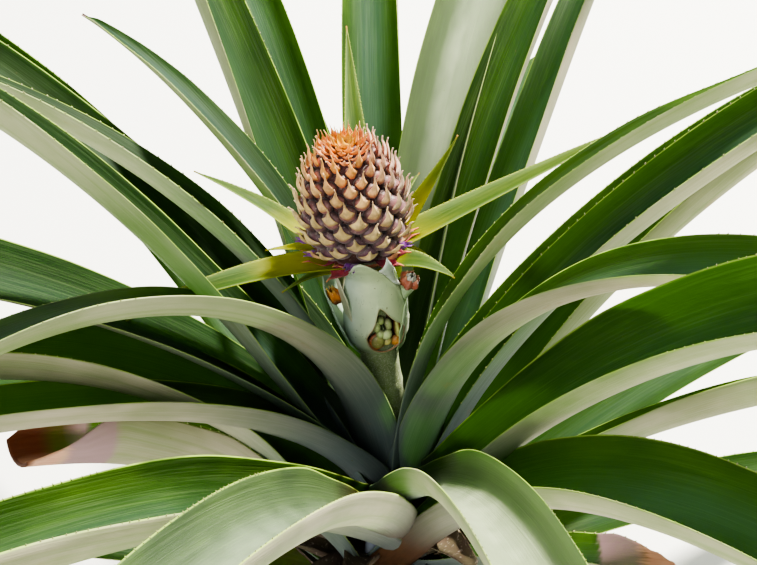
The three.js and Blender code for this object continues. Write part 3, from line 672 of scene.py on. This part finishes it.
def make_leaf(name, row):
    azimuth, height, radius, rise, droop, bend, sweep, roll0, roll1, length, width, fold = row[:12]
    tooth, bloom_and_glare, tone = row[12:]
    torn = name in TORN_LEAVES
    reach, dead_from, slant, curl = TORN_LEAVES.get(name, (1.0, 1.0, 0.0, 0.0))
    rows = int(40 + length * reach / LEAF_ROW)
    rest = np.concatenate([np.linspace(0, 0.94, rows), np.linspace(0.95, 0.996, 9)])
    t = rest * reach
    count = len(t)
    path = blade_path(round_stem(azimuth, radius, height), azimuth, rise, droop, bend, sweep,
                      (roll0, roll1), length, t)
    widths = np.maximum(width * leaf_width(t), 1.2) * (1 + smooth_noise(count, -0.012, 0.012, 12))
    left = smooth_noise(count, -1.5, 1.5, 11)[:, None]
    right = smooth_noise(count, -1.5, 1.5, 11)[:, None]
    spread = np.tile(LEAF_COLUMNS, (count, 1))
    waves = np.clip(t / 0.25, 0, 1)[:, None] * np.where(spread < 0, left, right)
    thick = LEAF_THICK * (1 - 0.5 * np.clip(t / 0.3, 0, 1))
    if torn:
        dying = np.clip((rest - dead_from) / (1 - dead_from), 0, 1)
        curled = curl * np.clip((rest - 0.35) / 0.3, 0, 1)
        near = 1 + curled - (0.8 + curled) * dying ** 1.3 + 0.05 * dying * smooth_noise(count, -1, 1, 34)
        far = 1 - 0.2 * np.clip((rest - 0.96) / 0.04, 0, 1) + 0.04 * dying * smooth_noise(count, -1, 1, 30)
        spread = spread * np.where(spread > 0, near[:, None], far[:, None])
        waves = waves + 3.5 * dying[:, None] * smooth_noise(count, -1, 1, 16)[:, None] * np.sin(5 * spread)

    def look(across, share):
        if torn:
            gone = share / reach - dead_from + slant * across
            decayed = np.clip(gone / (1 - dead_from), 0, 1)
            scorched_and_shaded = np.clip((decayed - 0.1) * 4, 0, 1) * np.clip(-across * 3, 0, 1)
            scorched_and_shaded = np.maximum(scorched_and_shaded, np.clip((share / reach - 0.985) / 0.01, 0, 1))
        else:
            decayed = np.clip((share - 0.985) / 0.02, 0, 1)
            # Painted shade over the foot, for the leaves in the plant's shaded middle.
            scorched_and_shaded = SHADED_FEET.get(name, 0) * np.clip((0.28 - share) / 0.16, 0, 1)
        return np.stack([0 * share + bloom_and_glare, decayed, scorched_and_shaded], -1)

    body = Body()
    upper = blade(body, path, length, widths, fold, thick, t, spread, waves, tone, (0, 1), look)
    teeth(body, upper, t, length, 0.4 + 0.5 * tooth, 2, 5.0 + 3.0 * tooth, 0.12 if tooth > 0.75 else 0.45,
          min(0.965, reach * 0.9), look=[0.0, 0.0, 0.0])
    nodes = [f"leaf_{name}"]
    if name in SPLIT_LEAVES:
        nodes = [f"leaf_{name}_rising", f"leaf_{name}_falling"]
    body.build(f"blade_{name}", (LEAF_UPPER, LEAF_UNDER, TOOTH), nodes)


def make_bract(name, row, nodes=()):
    azimuth, station, rise, droop, bend, sweep, roll, length, width, fold, tone = row
    t = np.concatenate([np.linspace(0, 0.92, 26), np.linspace(0.94, 0.996, 6)])
    start = on_stalk(station) + round_stem(azimuth, STALK_RADIUS - 2)
    path = blade_path(start, azimuth, rise, droop, bend, sweep, (roll, roll), length, t)
    widths = np.maximum(width * bract_width(t), 0.8)
    waves = (smooth_noise(len(t), -0.6, 0.6, 6) * np.clip(t / 0.3, 0, 1))[:, None]
    thick = BRACT_THICK * (1 - 0.5 * np.clip(t / 0.4, 0, 1))
    body = Body()
    upper = blade(body, path, length, widths, fold, thick, t, BRACT_COLUMNS, waves, tone)
    teeth(body, upper, t, length, 0.55, 0, 3.4, 0.2)
    body.build(f"bract_skin_{name}", BRACT, nodes)


def turned(body, rings, sides, directions, wobble, **values):
    """A closed turned body from (centre, radius) rings that lie along two directions."""
    angle = np.arange(sides) * 2 * math.pi / sides
    loops = []
    for centre, radius in rings:
        reach = radius * (1 + wobble * random.uniform(-1, 1, sides))
        loops.append(centre + (reach * np.cos(angle))[:, None] * directions[0]
                     + (reach * np.sin(angle))[:, None] * directions[1])
    grid = np.arange(len(rings) * sides).reshape(len(rings), sides)
    after = np.roll(grid, -1, axis=1)
    faces = np.stack([grid[:-1], after[:-1], after[1:], grid[1:]], -1).reshape(-1, 4)
    body.add(np.concatenate(loops), faces, **values)
    middle = np.zeros(sides, int)
    edge = np.arange(sides) + 1
    after = np.roll(edge, -1)
    for end, first, second in ((0, after, edge), (-1, edge, after)):
        points = np.concatenate([[rings[end][0]], loops[end]])
        body.add(points, np.stack([middle, first, second, middle + BLANK], -1), **values)


def make_stem():
    """The old stem, with the low ridges that fallen leaves leave round it."""
    body = Body()
    rings = []
    for z in np.linspace(0, 291.5, 92):
        ridge = 0.9 * abs(math.sin(z * math.pi / 11 + 0.4 * math.sin(z / 17)))
        rings.append((np.array([0, 0, z]), np.interp(z, STEM_HEIGHTS, STEM_RADII) - 1.2 + ridge))
    turned(body, rings, 40, LEVEL, 0.012)
    body.build("old_stem", WOOD, ["stem"])


def make_old_bases():
    """The dry stubs of old leaves, set round the stem by the golden angle, and one small curled base."""
    body = Body()
    t = np.linspace(0, 1, 15)
    u = np.linspace(-1, 1, 9)
    for i in range(OLD_BASES):
        azimuth = math.degrees(i * GOLDEN_ANGLE)
        length = random.uniform(70, 125)
        rolls = (random.uniform(-12, 12), random.uniform(-30, 30))
        path = blade_path(round_stem(azimuth, 25, 24 + 5.4 * i), azimuth, random.uniform(52, 66),
                          random.uniform(-5, 30), 1.0, random.uniform(-14, 14), rolls, length, t)
        widths = OLD_BASE_WIDTH * (1 - 0.8 * t ** 1.6) * (1 + smooth_noise(15, -0.06, 0.06, 9))
        colour = tinted((84, 74, 50)) * random.uniform(0.5, 1.1)
        waves = smooth_noise(15, -2, 2, 7)[:, None]
        blade(body, path, length, widths, 150, 3.4 - 2 * t, t, u, waves, 0.5, tint=colour)
    path = blade_path(np.array([-13.0, -38.0, 176.0]), 250, 78, 128, 1.0, 20, (0, 30), 52, t)
    blade(body, path, 52, 24 * (1 - 0.8 * t ** 2), 190, 1.6 - 0.8 * t, t, u, 0.0, 0.5,
          tint=tinted((128, 138, 150)))
    body.build("old_leaf_bases", OLD_BASE)


def make_stalk():
    """The fruit stalk, thicker at each joint."""
    body = Body()
    rings = []
    for along in np.linspace(1.5, 177.5, 60):
        radius = np.interp(along, [0, 110, 160, 178], [14.0, 14.0, 12.6, 12.4])
        joint = 0.7 * math.exp(-((along % 38 - 19) / 5) ** 2)
        rings.append((on_stalk(along), radius - 0.5 + joint))
    turned(body, rings, 40, TILTED, 0.01)
    body.build("scurfy_stalk", STALK, ["fruit_stalk"])


def egg_radius(share):
    """The fruit's radius at a share of its height, as in the CAD, in shares of its widest."""
    return np.maximum(np.sin(math.pi * np.clip(share, 0, 1) ** 0.78), 0) ** 0.46


def dome(sides, rings):
    """The points and faces of a unit dome, closed below by a shallow cone."""
    points = [[0, 0, 1.0]]
    for i in range(1, rings + 1):
        lift = i / rings * math.pi / 2 * 1.15
        for j in range(sides):
            a = 2 * math.pi * j / sides
            points.append([math.sin(lift) * math.cos(a), math.sin(lift) * math.sin(a), math.cos(lift)])
    faces = [[0, 1 + j, 1 + (j + 1) % sides, BLANK] for j in range(sides)]
    for a in range(1, 1 + (rings - 1) * sides):
        b = a + 1 if a % sides else a + 1 - sides
        faces.append([a, a + sides, b + sides, b])
    last = 1 + (rings - 1) * sides
    faces += [[last + j, len(points), last + (j + 1) % sides, BLANK] for j in range(sides)]
    points.append([0, 0, -0.45])
    return np.array(points), np.array(faces)


def placed(local, middle, right, up, out):
    return middle + local[:, :1] * right + local[:, 1:2] * up + local[:, 2:] * out


def scale_shape(rows, columns):
    """A unit scale: how far its points are across it (-1 to 1) and along it, and its faces."""
    v, s = np.meshgrid(np.linspace(0, 1, rows), np.linspace(-1, 1, columns), indexing="ij")
    grid = np.arange(rows * columns).reshape(rows, columns)
    return s, v, shell(grid, grid + grid.size)


def add_scale(body, foot, up, out, wide, tall, curl, neck, tints, base=0.62, cup=0.35, thick=0.7,
              lift=0.0, start=0.3):
    """A pointed scale: a shield `base` wide at its foot and full at `neck`, with a corner on each
    side there, drawn in above it to a spike whose tip stands `curl` proud. tints are its colours
    at the foot, on the shield and at the tip, and `start` is the share of it below `foot`."""
    s, v, faces = SCALE
    right = unit(np.cross(up, out))
    below = base + (1 - base) * np.clip(v / neck, 0, 1) ** 0.8
    rest = np.clip((v - neck) / (1 - neck), 0, 1)
    above = 0.72 * (1 - rest) ** 3.6 + 0.28 * (1 - rest) ** 0.9
    half = np.maximum(0.5 * wide * np.where(v <= neck + 1e-6, below, above), 0.1)
    y = tall * (v - start)
    z = lift + curl * np.clip((v - 0.2) / 0.8, 0, 1) ** 1.6
    z = z + 0.2 * wide * np.sin(np.clip(v / 0.8, 0, 1) * math.pi) - cup * half * s ** 2
    ridge = 0.07 * wide * (1 - np.abs(s)) ** 1.5 * np.clip(v * 6, 0, 1)
    sunk = z - thick * (1 - 0.6 * v)
    local = np.concatenate([np.stack([s * half, y, z + ridge], -1).reshape(-1, 3),
                            np.stack([s * half * 0.98, y, sunk], -1).reshape(-1, 3)])
    share = np.tile(v.ravel(), 2)
    tint = between(share, [0, 0.8 * neck, 0.7, 1], [tints[0], tints[1], tints[1], tints[2]])
    # Painted shade darkens the sides of the shield's lower part, where it tucks in among its neighbours.
    edge = np.clip(np.abs(np.tile(s.ravel(), 2)) * 1.6 - 0.8, 0, 1) * np.clip(1.3 - share / neck, 0, 1)
    body.add(placed(local, foot, right, up, out), faces, tint=tint * (1 - 0.45 * edge[:, None]))


def rosette(body, centre, axis, radius, wide, tall, count, colours, cup, turn=0.0, curl=0.0):
    """Scales set round an axis, as in a bud or a flower."""
    tints = [tinted(c) for c in colours]
    side = unit(np.cross(axis, np.array([0.3, -0.2, 0.9])))
    for k in range(count):
        spin = turn + 2 * math.pi * k / count
        out = math.cos(spin) * side + math.sin(spin) * np.cross(axis, side)
        add_scale(body, centre + radius * out, axis, out, wide, tall, curl, 0.6, tints, cup=cup, thick=0.5)


def eye_frame(share, angle):
    """A place on the fruit: the point, and the directions outward from the axis, up and out."""
    step = 0.002
    rise = float(egg_radius(share + step) - egg_radius(share - step))
    slope = rise * FRUIT_RADIUS / (2 * step * FRUIT_HEIGHT)
    outward = from_stalk(angle)
    foot = on_stalk(FRUIT_BASE + FRUIT_HEIGHT * share, FRUIT_SHIFT)
    foot = foot + FRUIT_RADIUS * float(egg_radius(share)) * outward
    return foot, outward, unit(STALK_UP + slope * outward), unit(outward - slope * STALK_UP)


def add_eye(berries, scales, share, angle, pitch):
    """One eye: a fleshy berry, mauve, with painted shade darkening its foot between the eyes, under the
    shield and spike of its bract.
    """
    foot, outward, up, out = eye_frame(share, angle)
    jitter = random.uniform(-1, 1, 7)
    size = pitch * (1 + 0.05 * jitter[0])
    if share < 0.2:
        out = unit(out + 0.6 * outward)
    if share > 0.55:
        raised = (share - 0.55) / 0.45
        up = unit(up + 1.3 * raised * STALK_UP + 0.35 * raised * outward)
        out = unit(outward + 0.45 * STALK_UP)
    out = unit(out - up * np.dot(out, up))
    right = np.cross(up, out)
    foot = foot + right * jitter[1] * 0.6 + up * jitter[2] * 0.6
    shade = 1 + 0.12 * jitter[3]

    turn = np.arctan2(BERRY[0][:, 1], BERRY[0][:, 0])
    facets = np.cos((turn + math.pi / 6) % (math.pi / 3) - math.pi / 6) ** -0.8
    local = BERRY[0] * np.array([0.52, 0.5, 0.4]) * size * np.interp(share, [0.6, 0.9], [1, 0.75])
    local[:, :2] *= facets[:, None]
    # Painted shade: the berry darkens towards its foot, in the gaps between the eyes.
    rim = np.clip(BERRY[0][:, 2], 0, 1)[:, None]
    berries.add(placed(local, foot - 0.14 * size * up - 0.2 * size * out, right, up, out), BERRY[1],
                tint=blend(share, *FLESH) * shade * (0.06 + 0.94 * rim ** 1.7))

    # A painted highlight, pinkish white, on the fruit's right side where the sun falls, fading out towards
    # its foot.
    painted_highlight = 0.55 * max(math.cos(angle - 0.3), 0) ** 2 * min(max((share - 0.25) / 0.3, 0), 1)
    shield = blend(share, *SHIELD) * shade * (1 - painted_highlight) + tinted(PAINTED_HIGHLIGHT) * painted_highlight
    spike = blend(share, *SPIKE) * (1 - painted_highlight) + tinted(PAINTED_HIGHLIGHT) * painted_highlight
    lip = np.clip((0.17 - share) / 0.1, 0, 1)
    wide = size * (np.interp(share, [0.1, 0.4, 0.9], [0.96, 0.94, 0.82]) + 0.06 * lip)
    tall = size * np.interp(share, [0, 0.17, 0.5, 0.9], [0.76, 1.06, 1.26, 1.6])
    curl = np.interp(share, [0, 0.2, 0.5, 0.9], [1.2, 4.6, 5.4, 2.6])
    lean = unit(up + 0.2 * random.uniform(-1, 1) * right)
    add_scale(scales, foot + 0.03 * size * up, lean, out, wide * (1 + 0.06 * jitter[4]),
              tall * (1 + 0.12 * jitter[5]), curl * (1 + 0.3 * jitter[6]), 0.6 if lip > 0.5 else 0.27,
              (blend(share, *ROOT), shield, spike), 0.42, 0.5, lift=0.16 * size,
              start=0.4 if lip > 0.5 else 0.3)


def make_core():
    """The flesh between the eyes."""
    core = Body()
    rings = []
    for share in np.linspace(0.004, 0.985, 40):
        centre = on_stalk(FRUIT_BASE + FRUIT_HEIGHT * share * 0.97, FRUIT_SHIFT)
        rings.append((centre, max(egg_radius(share) * (FRUIT_RADIUS - 3.5), 3.0)))
    turned(core, rings, 36, TILTED, 0.02, tint=tinted((70, 34, 34)))
    core.build("fruit_core", FRUIT_SKIN, ["fruit"])


def add_eyes(berries, scales, shares, radii):
    """The eyes, as many as fit at their pitch, but for those that the sheath clasps."""
    slant = np.hypot(np.gradient(radii), np.gradient(shares * FRUIT_HEIGHT))
    pitch = np.interp(shares, [0, 0.45, 0.75, 0.92], [14.0, 13.0, 10.6, 8.4])
    count = np.cumsum(2 * math.pi * radii * slant / (0.87 * pitch ** 2))
    for i in range(int(count[-1])):
        share = float(np.interp(i + 0.5, count, shares))
        angle = i * GOLDEN_ANGLE + 0.6
        clasped = share < 0.21 and math.sin(angle + 0.05) < -0.86
        if share < CROWN_FROM and not clasped:
            add_eye(berries, scales, share, angle, float(np.interp(share, shares, pitch)))


def add_crown(scales, shares, radii):
    """The small scales that close the fruit's top."""
    top = np.argmax(radii)
    crown_radius = FRUIT_RADIUS * float(egg_radius(CROWN_FROM - 0.02))
    for i in range(CROWN_SCALES):
        spread = (i + 0.5) / CROWN_SCALES
        share = float(np.interp(-crown_radius * math.sqrt(spread), -radii[top:], shares[top:]))
        foot, outward = eye_frame(min(share, 0.997), i * GOLDEN_ANGLE)[:2]
        up = unit(STALK_UP + (0.12 + 0.6 * spread ** 1.5) * outward + 0.14 * random.uniform(-1, 1, 3))
        out = unit(outward - up * np.dot(outward, up))
        tall = np.interp(spread, [0, 0.1, 0.5, 1], [10.0, 9.0, 9.5, 11.0]) * random.uniform(0.85, 1.15)
        wide = np.interp(spread, [0, 0.2, 1], [6.4, 6.4, 7.2])
        shade = random.uniform(0.88, 1.12)
        root, shield, tip = [blend(spread, *stops) for stops in CROWN]
        add_scale(scales, foot - up, up, out, wide, tall, 1.4, 0.3, (root * shade, shield * shade, tip),
                  0.7, 0.55)


def add_skirt(scales):
    """The maroon scales under the fruit."""
    tints = [tinted(c) for c in SKIRT]
    for i in range(SKIRT_SCALES):
        angle = i * 2 * math.pi / SKIRT_SCALES + 0.25 * random.uniform(-1, 1)
        if math.sin(angle) < -0.88:
            continue
        outward = from_stalk(angle)
        up = unit(outward + 0.32 * STALK_UP)
        out = unit(0.32 * outward - STALK_UP)
        foot = on_stalk(FRUIT_BASE + 4 + 2 * random.uniform(-1, 1), FRUIT_SHIFT) + 24 * outward
        add_scale(scales, foot, up, out, 13, 22 * random.uniform(0.8, 1.15), 1.0, 0.4, tints, cup=0.3)


def make_fruit():
    """The young fruit: eyes set by the golden angle, a closed crown of small scales and a few flowers."""
    make_core()
    berries = Body()
    scales = Body()
    shares = np.linspace(0.0005, 0.9995, 4000)
    radii = FRUIT_RADIUS * egg_radius(shares)
    add_eyes(berries, scales, shares, radii)
    add_crown(scales, shares, radii)
    add_skirt(scales)
    berries.build("fruit_berries", BERRY_SKIN)
    scales.build("fruit_scales", SCALE_SKIN)
    petals = Body()
    for angle, share, length in FLOWERS:
        foot, outward = eye_frame(share, math.radians(angle))[:2]
        axis = unit(outward + 0.35 * STALK_UP)
        rosette(petals, foot + axis * length * 0.3, axis, 1.4, 5.2, length, 3, PETALS, 0.9)
    petals.build("fruit_petals", PETAL_SKIN)


def make_wrapped(name, turn, along, radius, middle, skins, faces, tint, nodes=()):
    """Makes a shell round the stalk from turns in radians, 0 at the front and positive to the right,
    and distances up the stalk. `skins` is how far its two skins stand out from the radius."""
    points = []
    for proud in skins:
        across = middle + (radius + proud) * np.sin(turn)
        back = SHEATH_BACK - (radius + proud) * np.cos(turn)
        points.append((STALK_FOOT + along[..., None] * STALK_UP + across[..., None] * STALK_ACROSS
                       + back[..., None] * STALK_BACK).reshape(-1, 3))
    body = Body()
    body.add(np.concatenate(points), faces, tint=tint)
    body.build(name, SHEATH, nodes)


def sheath_radius(along):
    """The sheath's radius and its middle's shift to the right, at a distance up the stalk."""
    return (np.interp(along, [97, 101, 108, 120, 135, 165, 175, 182, 189, 196],
                      [14.5, 18.0, 21.0, 22.0, 20.5, 17.5, 21.0, 26.0, 30.0, 33.0]),
            np.interp(along, [97, 120, 165, 185], [1.0, 2.0, 3.4, 3.6]))


def make_sheath():
    """The waxy bract that wraps the front of the stalk, with a drop-shaped opening over a bud."""
    around = 160
    across = 20
    angle = np.linspace(0, 2 * math.pi, around, endpoint=False)
    right = np.cos(angle)
    rise = np.sin(angle)
    peak = np.clip(rise, 0, 1)
    inner_x = HOLE_X + HOLE_HALF * right * (1 - 0.35 * peak ** 1.5) - 2.6 * peak ** 4
    inner_y = HOLE_Y + np.where(rise > 0, HOLE_HIGH * (0.55 * peak + 0.45 * peak ** 7), HOLE_LOW * rise)
    # Each line out from the opening's middle goes on as far as the sheath does.
    reach = np.linspace(3, 90, 1800)[:, None]
    x = HOLE_X + reach * right
    y = HOLE_Y + reach * rise
    within = (np.abs(x + 1) < 34) & (y > 97) & (y < np.interp(x, EDGE_X, EDGE_Y))
    limit = np.where(within, reach, 0).max(axis=0)
    steps = np.linspace(0, 1, across)[:, None] ** 1.25
    flat_x = inner_x + steps * (HOLE_X + limit * right - inner_x)
    flat_y = inner_y + steps * (HOLE_Y + limit * rise - inner_y)
    lip = 0.9 * np.clip(1 - steps / 0.1, 0, 1)
    flare = 1.6 * np.clip((steps - 0.9) / 0.1, 0, 1) * np.clip((flat_y - 120) / 40, 0, 1)
    radius, middle = sheath_radius(flat_y)
    near = np.clip(1 - steps / 0.035, 0, 1)[..., None]
    skin = blend(flat_x, *SHEATH_TINTS) * (0.86 + 0.14 * np.clip((flat_y - 100) / 60, 0, 1))[..., None]
    tint = (skin * (1 - near) + tinted((150, 96, 70)) * near).reshape(-1, 3)
    grid = np.arange(around * across).reshape(across, around)
    grid = np.concatenate([grid, grid[:, :1]], 1)
    make_wrapped("sheath_skin", flat_x / FLAT, flat_y, radius + lip + flare, middle, (0.7, -0.7),
                 shell(grid + around * across, grid, False), np.tile(tint, (2, 1)), ["bract_sheath"])


def make_cup(name, ends, foot, rim, radii, middle, colour):
    w = np.linspace(0, 1, 41)[None]
    v = np.linspace(0, 1, 25)[:, None]
    turn = np.radians(ends[0] + (ends[1] - ends[0]) * w) + 0 * v
    along = foot + (np.interp(w, np.linspace(0, 1, 5), rim) - foot) * v
    radius = np.interp(v + 0 * w, [0, 0.5, 1], radii) + 0.3 * np.sin(w * 21) * v
    grid = np.arange(turn.size).reshape(turn.shape)
    make_wrapped(name, turn, along, radius, middle, (0.8, 0), shell(grid, grid + grid.size), tinted(colour))


def make_fold():
    """The strip of the sheath that is folded over along its top edge."""
    s = np.linspace(0, 1, 20)[:, None]
    w = np.linspace(0, 1, 9)[None]
    low_x = 4.5 + 16.5 * s
    low_y = 186 - 52 * s + 21 * s ** 2
    flat_x = low_x + (7.5 + 14 * s - low_x) * w
    flat_y = low_y + (199.5 - 62 * s + 18.5 * s ** 2 - low_y) * w
    radius, middle = sheath_radius(flat_y)
    proud = 2.4 + 2.4 * np.sin(math.pi * (0.15 + 0.85 * w)) * (1 - s ** 2) + 1.2 * w * (1 - s)
    grid = np.arange(flat_x.size).reshape(flat_x.shape)
    make_wrapped("sheath_fold", flat_x / FLAT, flat_y, radius + proud, middle, (0.5, -0.5),
                 shell(grid + grid.size, grid), tinted((244, 246, 240)))


def make_buds():
    """The bud in the sheath's opening, and the buds at both sides of the stalk."""
    bud = Body()
    # Painted shade: each lobe darkens towards its foot, where it sinks into the opening.
    lobe_shade = 0.25 + 0.75 * np.clip(KNOB[0][:, 2:], 0, 1) ** 0.7
    facing = unit(math.sin(0.35) * STALK_ACROSS - math.cos(0.35) * STALK_BACK)
    right = unit(np.cross(STALK_UP, facing))
    middle = on_stalk(117, 2.0, 1.5) + 16.6 * facing
    for across, up, depth, wide, tall, colour in LOBES:
        local = KNOB[0] * np.array([wide, tall, LOBE_DEPTH]) + np.array([across, up, depth])
        bud.add(placed(local, middle, right, STALK_UP, facing), KNOB[1], tint=tinted(colour) * lobe_shade)

    axis = unit(0.5 * STALK_ACROSS + STALK_UP - 0.25 * STALK_BACK)
    side = unit(np.cross(axis, STALK_BACK))
    neck = Body()
    rings = [(on_stalk(126, 12) * (1 - share) + on_stalk(150, 26, -2) * share, 4.0 + 2.6 * share)
             for share in np.linspace(0, 1, 12)]
    turned(neck, rings, 18, (side, np.cross(axis, side)), 0.02, tint=tinted((186, 204, 160)))
    neck.build("bud_neck", SHEATH)
    rosette(bud, on_stalk(151, 27, -2), axis, 5.4, 9.0, 10, 6, BUD, 1.0, 0.2, -1.0)
    rosette(bud, on_stalk(152, 27.5, -2), axis, 3.4, 6.6, 9, 5, HEART, 1.0, 0.6, -1.8)
    axis = unit(STALK_UP - 0.25 * STALK_ACROSS - 0.2 * STALK_BACK)
    rosette(bud, on_stalk(143, -23, -3), axis, 3.4, 7.0, 16, 5, AMBER, 1.0, 0.3, -1.4)
    bud.build("sheath_buds", BUD_SKIN)


LEAF_UPPER = leaf_material("leaf_upper_skin", True)
LEAF_UNDER = leaf_material("leaf_under_skin", False)
TOOTH = tooth_material()
BRACT = bract_material()
WOOD = wood_material()
OLD_BASE = tint_material("old_base_skin", 0.8, 260.0, 0.0008)
STALK = stalk_material()
SHEATH = sheath_material()
FRUIT_SKIN = tint_material("fruit_core_skin", 0.8, 500.0, 0.0006)
BERRY_SKIN = tint_material("berry_skin", 0.5, 700.0, 0.0004, 0.2)
SCALE_SKIN = tint_material("scale_skin", 0.55, 800.0, 0.0004, 0.1, 0.12, (230, 150, 80))
PETAL_SKIN = tint_material("petal_skin", 0.45, 600.0, 0.0002, 0.3, 0.2, (170, 80, 200))
BUD_SKIN = tint_material("bud_skin", 0.5, 600.0, 0.0003)
SCALE = scale_shape(16, 9)
BERRY = dome(18, 6)
KNOB = dome(20, 8)

for leaf_name, leaf_row in LEAVES.items():
    make_leaf(leaf_name, leaf_row)
for bract_name, bract_row in BRACTS.items():
    make_bract(bract_name, bract_row, [f"bract_{bract_name}"])
for bract_name, bract_row in SMALL_BRACTS.items():
    make_bract(bract_name, bract_row)
make_stem()
make_old_bases()
make_stalk()
make_fruit()
make_sheath()
make_buds()
for cup_name, cup_row in CUPS.items():
    make_cup(cup_name, *cup_row)
make_fold()

# Floor, light and camera.
bpy.ops.mesh.primitive_plane_add(size=14, location=(0, 0, 0))
floor = bpy.context.object
floor.name = "floor"
floor_nodes = Nodes("pale_floor")
floor_nodes.body = (226, 226, 222)
floor.data.materials.append(floor_nodes.finish(0.9))


def lamp(name, direction, distance, size, watts, colour=(1, 1, 1)):
    data = bpy.data.lights.new(name, "AREA")
    data.shape = "DISK"
    data.size = size
    data.energy = watts
    data.color = colour
    light = bpy.data.objects.new(name, data)
    bpy.context.scene.collection.objects.link(light)
    way = unit(np.array(direction, float))
    light.location = way * distance + np.array([0, 0, 0.4])
    light.rotation_euler = (0, math.acos(way[2]), math.atan2(way[1], way[0]))


lamp("key", (0.36, 0.5, 0.9), 4.0, 0.4, 930, (1.0, 0.96, 0.86))
lamp("fill", (-0.4, -0.95, 0.7), 4.0, 2.6, 110, (1.0, 0.99, 0.96))
world = bpy.data.worlds.new("studio")
bpy.context.scene.world = world
world.use_nodes = True
world.node_tree.nodes["Background"].inputs[0].default_value = (0.86, 0.93, 1.0, 1)
world.node_tree.nodes["Background"].inputs[1].default_value = 0.72

bpy.context.scene.view_settings.look = "AgX - Medium High Contrast"

camera_data = bpy.data.cameras.new("camera")
camera_data.lens = 66.58
camera_data.sensor_width = 36
camera = bpy.data.objects.new("camera", camera_data)
bpy.context.scene.collection.objects.link(camera)
camera.location = (-0.009, -0.6911, 1.0643)
camera.rotation_euler = (math.radians(48), 0, 0)
bpy.context.scene.camera = camera
